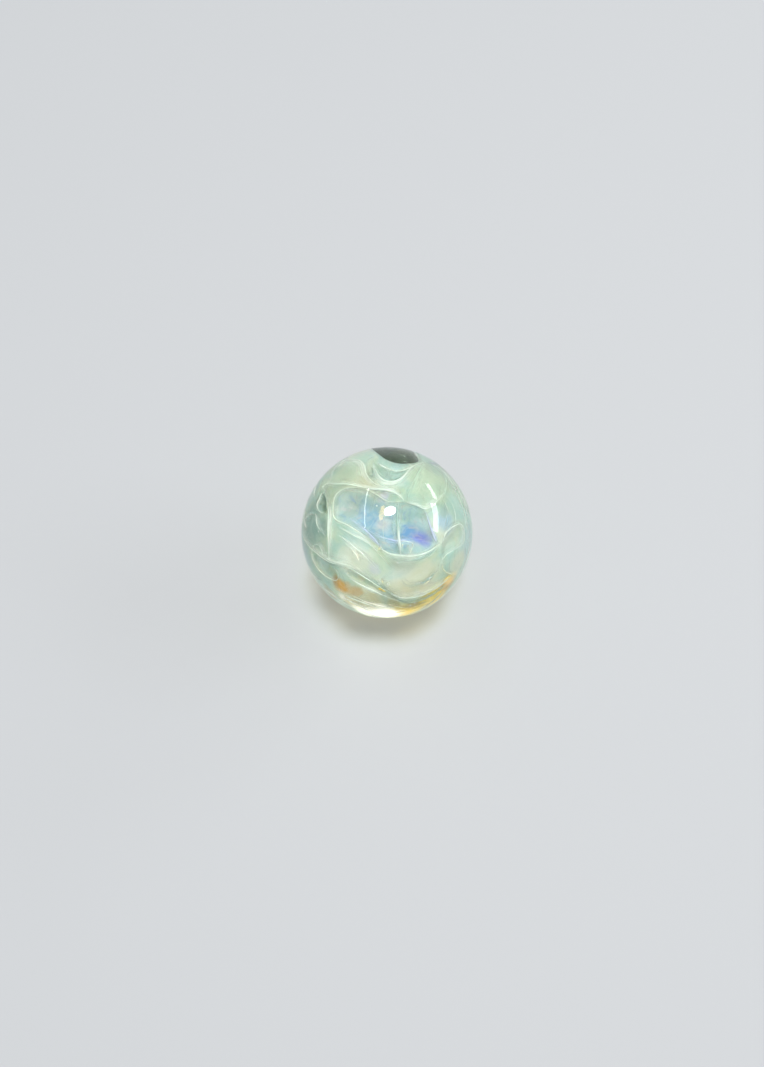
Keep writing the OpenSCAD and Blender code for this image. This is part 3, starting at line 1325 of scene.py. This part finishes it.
# %% The ball's finish
clear_finish = Finish("clear_glass")
roll = clear_finish.noise(clear_finish.place(), 260.0, 2.0)
fine = clear_finish.noise(clear_finish.place(), 2400.0, 2.0)
surface = clear_finish.node(
    "Bump", {"Height": roll + fine * 0.05, "Strength": 0.04, "Distance": 0.2 * MM}
)
tone = clear_finish.mix(roll.between(0.3, 0.7), (0.985, 1.0, 0.985), (0.975, 0.995, 0.99))
glass = clear_finish.node(
    "BsdfPrincipled",
    {
        "Base Color": tone,
        "Roughness": 0.0,
        "IOR": GLASS_IOR,
        "Transmission Weight": 1.0,
        "Normal": surface,
    },
)
glass = for_lamps(clear_finish, glass, (0.96, 0.98, 0.96))
ball.data.materials.clear()
ball.data.materials.append(clear_finish.show(glass))

# %% Every piece moves with the ball
for piece in (milk, window_shade, face_veils, far_veils, threads, seeds):
    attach(piece, "root")

# %% [markdown]
# ## The studio
#
# A plain pale floor and soft lamps. Glass shows its lamps as highlights, so each lamp has the
# shape and place of one: an oval one high up, which also gives the shadow its shape, a small
# warm one beside it, and strips left and right, whose reflections run down the ball. A wide
# fill in front lights the opal alone and leaves no highlight.

# %% Floor
floor_finish = Finish("pale_floor")
floor_shader = floor_finish.node(
    "BsdfPrincipled", {"Base Color": (0.52, 0.53, 0.54), "Roughness": 0.7}
)
bpy.ops.mesh.primitive_plane_add(size=3.0, location=(0, 0, -BALL_R))
floor = bpy.context.object
floor.name = "floor"
floor.data.materials.append(floor_finish.show(floor_shader))


# %% Lamps
def lamp(name, shape, place, watts, wide, long, turned):
    """An area lamp that faces the ball, with its long side along turned."""
    data = bpy.data.lights.new(name, "AREA")
    data.energy = watts
    data.shape = shape
    data.size = wide
    data.size_y = long
    made = bpy.data.objects.new(name, data)
    bpy.context.scene.collection.objects.link(made)
    back = Vector(place).normalized()
    along = Vector(turned)
    along = (along - back * along.dot(back)).normalized()
    turn = Matrix((along.cross(back), along, back)).transposed().to_4x4()
    made.matrix_world = Matrix.Translation(place) @ turn
    return made


lamp("top_lamp", "ELLIPSE", (0.03, 0.01, 0.5), 1.85, 0.10, 0.14, (0.9, 0.4, 0))
warm = lamp("warm_lamp", "ELLIPSE", (-0.056, -0.008, 0.5), 0.27, 0.06, 0.18, (0.2, 1, 0))
warm.data.color = (1.0, 0.60, 0.08)
lamp("left_strip", "RECTANGLE", (-0.28, 0.09, 0.53), 0.34, 0.018, 0.60, (0.1, 1, 0))
lamp("right_strip", "RECTANGLE", (0.415, 0.045, 0.19), 0.44, 0.068, 0.26, (-0.5, 1, 0))
lamp("right_strip_far", "RECTANGLE", (0.33, 0.27, 0.15), 0.15, 0.040, 0.14, (-0.5, 1, 0))
fill = lamp("front_fill", "RECTANGLE", (0, -0.5, 0.10), 1.22, 0.5, 0.25, (0, 0, 1))
fill.visible_glossy = False
fill.visible_transmission = False
the_ball = bpy.data.collections.new("lit_by_fill")
for piece in (ball, milk, window_shade, face_veils, far_veils, threads, seeds):
    the_ball.objects.link(piece)
fill.light_linking.receiver_collection = the_ball
warm.light_linking.receiver_collection = the_ball

# %% The room's own light
world = bpy.data.worlds.new("studio")
bpy.context.scene.world = world
world.use_nodes = True
sky = world.node_tree.nodes["Background"]
sky.inputs["Color"].default_value = (0.92, 0.96, 1.0, 1)
sky.inputs["Strength"].default_value = 0.42

# %% [markdown]
# ## The camera
#
# It looks down at the face from some way off, which leaves room for the floor and the shadow
# round the ball.

# %% Camera
PICTURE_LONG = 1067
FOCAL = 1800  # in picture units, as the long side is
BALL_SHOWS = 85.8  # the ball's radius in the same units
distance = BALL_R * math.hypot(1, FOCAL / BALL_SHOWS)
unit = distance / FOCAL
camera_data = bpy.data.cameras.new("camera")
camera_data.sensor_width = 36
camera_data.lens = 36 * FOCAL / PICTURE_LONG
camera_data.clip_start = 0.01
camera_data.clip_end = 10
camera = bpy.data.objects.new("camera", camera_data)
bpy.context.scene.collection.objects.link(camera)
right, top, out = (Vector(v) for v in FRONT)
camera.location = out * distance - right * 4.9 * unit - top * 0.9 * unit
camera.rotation_mode = "QUATERNION"
camera.rotation_quaternion = (-out).to_track_quat("-Z", "Y")
bpy.context.scene.camera = camera

# %% Light paths
cycles = bpy.context.scene.cycles
cycles.max_bounces = 16
cycles.transmission_bounces = 12
cycles.diffuse_bounces = 5
cycles.transparent_max_bounces = 32
cycles.sample_clamp_indirect = 4.0
bpy.context.scene.view_settings.view_transform = "Standard"
